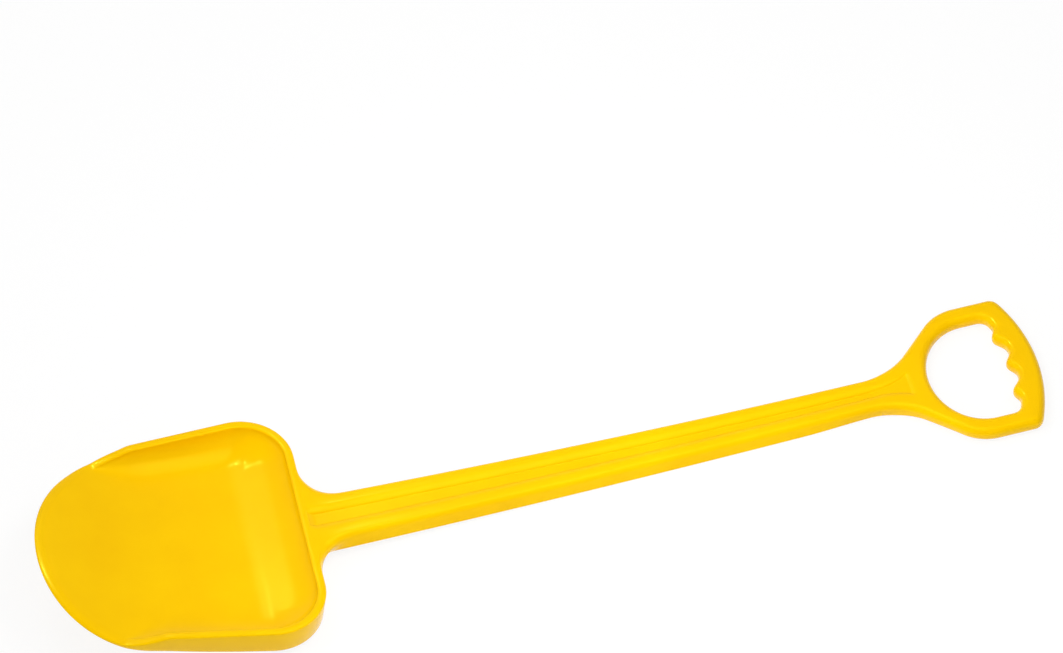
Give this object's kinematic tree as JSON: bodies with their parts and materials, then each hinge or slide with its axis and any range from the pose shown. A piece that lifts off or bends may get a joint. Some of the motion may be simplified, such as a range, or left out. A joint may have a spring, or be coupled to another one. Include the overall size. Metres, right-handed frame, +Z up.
{
  "type": "sand shovel",
  "caption": "Child's one-piece plastic sand shovel: scoop blade with raised walls, grooved channel shaft, D-grip with finger grooves.",
  "frame": {"origin": "middle of the shovel's length and width, on the table that it lies on", "axes": "+X from the blade to the grip, +Y to the digger's right, +Z up from the table"},
  "size_m": [0.5722, 0.1522, 0.0432],
  "materials": {
    "shell": "glossy yellow, moulded"
  },
  "bodies": {
    "root": {"scoop_floor": "shell", "digging_edge": "shell", "left_wall": "shell", "right_wall": "shell", "back_wall": "shell", "neck": "shell", "shaft": "shell", "channel_ribs": "shell", "yoke": "shell", "left_arm": "shell", "right_arm": "shell", "finger_bar": "shell"}
  },
  "joints": []
}
